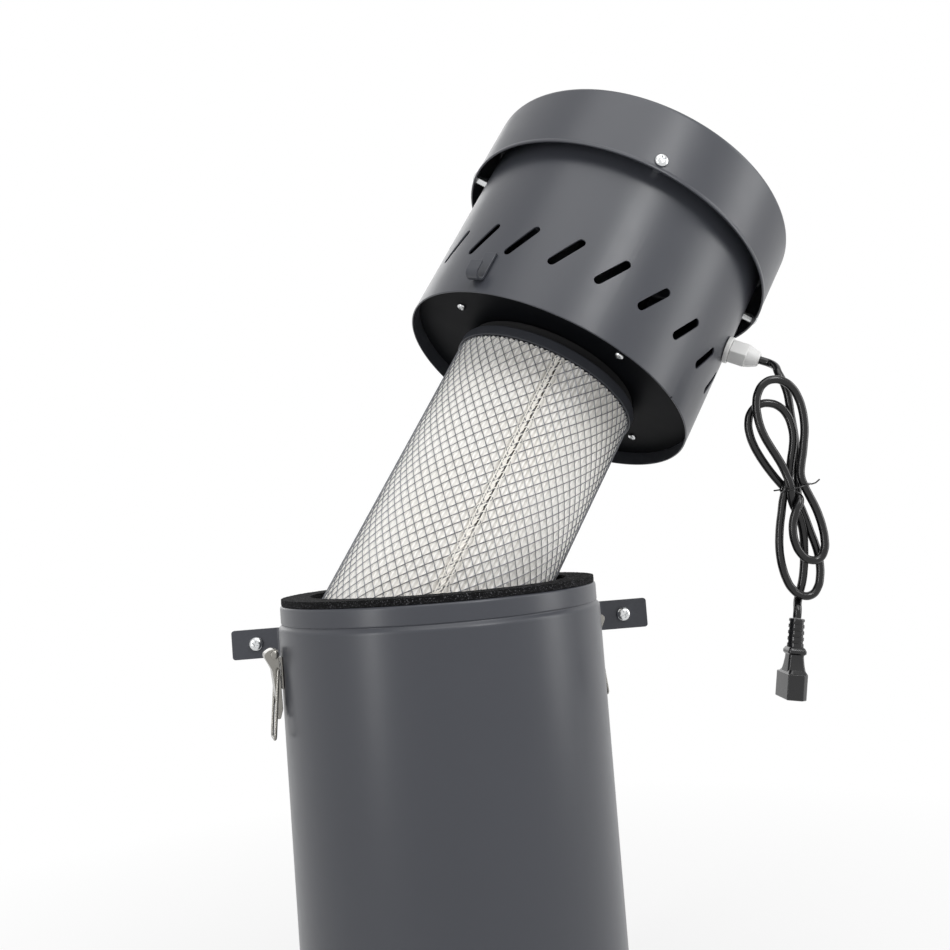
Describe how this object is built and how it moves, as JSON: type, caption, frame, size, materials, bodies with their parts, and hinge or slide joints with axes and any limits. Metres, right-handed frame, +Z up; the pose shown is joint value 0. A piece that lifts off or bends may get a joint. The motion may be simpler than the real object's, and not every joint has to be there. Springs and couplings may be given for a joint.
{
  "type": "dust collector",
  "caption": "Dust extractor: steel canister with toggle latches and a lift-off motor head, tilted in its mouth, carrying a pleated cartridge filter and a tied mains lead.",
  "frame": {"origin": "centre of the canister's flat bottom", "axes": "+Z up the canister, -Y towards the side that the filter is seen from, +X to that view's right"},
  "size_m": [0.5106, 0.3463, 0.8317],
  "materials": {
    "painted_steel": "satin grey powder coat",
    "black_paint": "gloss black paint",
    "foam": "open foam",
    "rubber": "matt",
    "filter_paper": "white pleated paper",
    "mesh": "expanded metal",
    "plated_steel": "zinc plated",
    "nylon": "moulded",
    "copper": "enamelled windings",
    "cast_metal": "cast",
    "black_plastic": "moulded",
    "cord": "flexible PVC"
  },
  "bodies": {
    "canister": {"canister_shell": "painted_steel", "canister_floor": "painted_steel", "inlet_spigot": "painted_steel", "rim_gasket": "foam", "left_bracket": "painted_steel", "right_bracket": "painted_steel", "left_bracket_bolt": "plated_steel", "right_bracket_bolt": "plated_steel", "left_latch_base": "plated_steel", "right_latch_base": "plated_steel"},
    "left_lever": {"left_latch_lever": "plated_steel"},
    "right_lever": {"right_latch_lever": "plated_steel"},
    "left_bail_body": {"left_bail": "plated_steel"},
    "right_bail_body": {"right_bail": "plated_steel"},
    "cartridge": {"filter_seal": "rubber", "filter_top_ring": "black_plastic", "filter_outer_mesh": "mesh", "filter_media": "filter_paper", "filter_core": "plated_steel", "filter_bottom_cap": "black_plastic", "tie_rod": "plated_steel", "wing_nut": "plated_steel"},
    "rotor": {"motor_shaft": "plated_steel", "impeller": "cast_metal", "armature": "copper", "cooling_fan": "black_plastic"},
    "cord": {"cord_lead": "cord", "cord_hank": "cord", "cord_tail": "cord", "connector": "black_plastic", "cord_tie": "black_plastic"},
    "head": {"head_drum": "painted_steel", "top_cap": "painted_steel", "front_catch": "painted_steel", "rear_catch": "painted_steel", "rod_crossbar": "plated_steel", "lower_bearing": "plated_steel", "upper_bearing": "plated_steel", "cap_screw_1": "plated_steel", "cap_screw_2": "plated_steel", "cap_screw_3": "plated_steel", "cap_screw_4": "plated_steel", "cap_spacer_1": "plated_steel", "cap_spacer_2": "plated_steel", "cap_spacer_3": "plated_steel", "cap_spacer_4": "plated_steel", "plate_screw_1": "plated_steel", "plate_screw_2": "plated_steel", "plate_screw_3": "plated_steel", "plate_screw_4": "plated_steel", "motor_gasket": "rubber", "left_brush": "black_plastic", "right_brush": "black_plastic", "base_plate": "black_paint", "gland_body": "nylon", "gland_nut": "nylon", "motor_housing": "cast_metal", "motor_frame": "cast_metal", "stator": "cast_metal"}
  },
  "joints": [
    {"name": "head_swing", "type": "hinge", "parent": "canister", "child": "cartridge", "pos_m": [0.30469, 0.13059, 0.3272], "axis": [0.3939, -0.9191, 0], "range_deg": [0, 34.18], "deforming": ["rim_gasket"]},
    {"name": "head_turn", "type": "hinge", "parent": "cartridge", "child": "head", "pos_m": [0.1024, 0.04389, 0.59318], "axis": [0.5164, 0.2213, 0.8273], "range_deg": [-35.7, 0]},
    {"name": "cord_swing", "type": "hinge", "parent": "head", "child": "cord", "pos_m": [0.27659, 0.01128, 0.59714], "axis": [0.3939, -0.9191, 0], "range_deg": [-34.2, 0], "deforming": ["cord_lead"]},
    {"name": "motor_spin", "type": "hinge", "parent": "head", "child": "rotor", "pos_m": [0.1024, 0.04389, 0.59318], "axis": [0.5164, 0.2213, 0.8273], "continuous": true},
    {"name": "left_lever_pivot", "type": "hinge", "parent": "canister", "child": "left_lever", "pos_m": [-0.12564, -0.03603, 0.396], "axis": [0.2756, -0.9613, 0], "range_deg": [-118, 0]},
    {"name": "left_bail_pivot", "type": "hinge", "parent": "left_lever", "child": "left_bail_body", "pos_m": [-0.12429, -0.03564, 0.385], "axis": [-0.2756, 0.9613, 0], "range_deg": [0, 168.9]},
    {"name": "right_lever_pivot", "type": "hinge", "parent": "canister", "child": "right_lever", "pos_m": [0.12564, 0.03603, 0.396], "axis": [-0.2756, 0.9613, 0], "range_deg": [-118, 0]},
    {"name": "right_bail_pivot", "type": "hinge", "parent": "right_lever", "child": "right_bail_body", "pos_m": [0.12429, 0.03564, 0.385], "axis": [0.2756, -0.9613, 0], "range_deg": [0, 168.9]}
  ],
  "couplings": [
    {"joint": "head_turn", "follows": "head_swing", "ratio": -1.0444},
    {"joint": "cord_swing", "follows": "head_swing", "ratio": -1}
  ]
}
